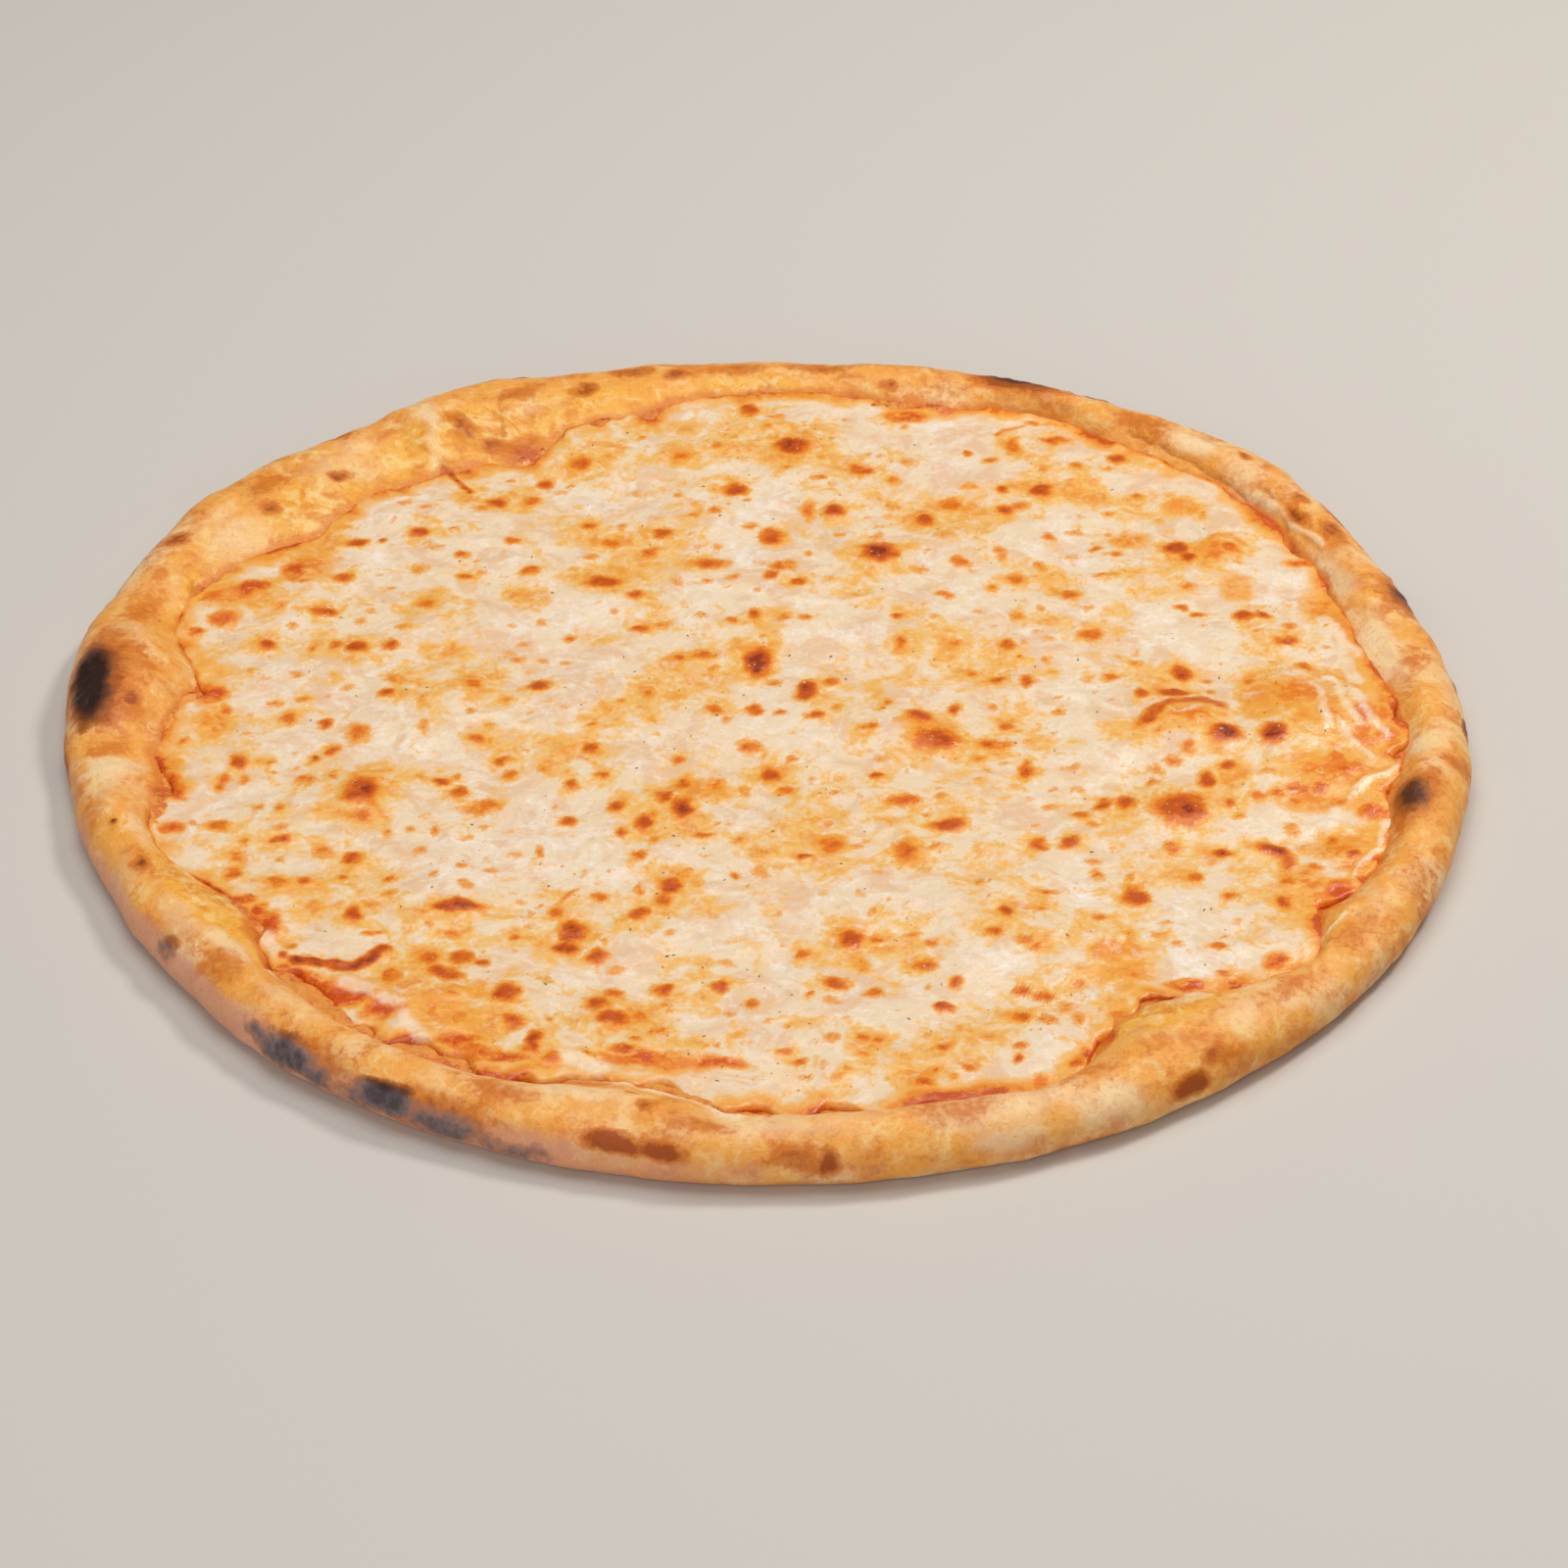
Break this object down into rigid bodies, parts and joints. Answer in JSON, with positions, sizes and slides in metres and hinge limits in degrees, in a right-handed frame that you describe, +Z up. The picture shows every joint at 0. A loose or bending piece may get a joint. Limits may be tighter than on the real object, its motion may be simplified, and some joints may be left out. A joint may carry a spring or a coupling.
{
  "type": "margherita pizza",
  "caption": "Whole uncut baked margherita pizza: thin dough with a low puffed crust, tomato sauce and browned melted cheese.",
  "frame": {"origin": "middle of the flat underside, which rests on the table or plate", "axes": "+Z up out of the topping, -Y towards the viewer of the picture, +X to the viewer's right"},
  "size_m": [0.3212, 0.3202, 0.016],
  "materials": {
    "dough": "golden baked crust, satin",
    "tomato_sauce": "moist, glossy",
    "melted_cheese": "melted, a little oily"
  },
  "bodies": {
    "root": {"dough": "dough", "tomato_sauce": "tomato_sauce", "melted_cheese": "melted_cheese"}
  },
  "joints": []
}
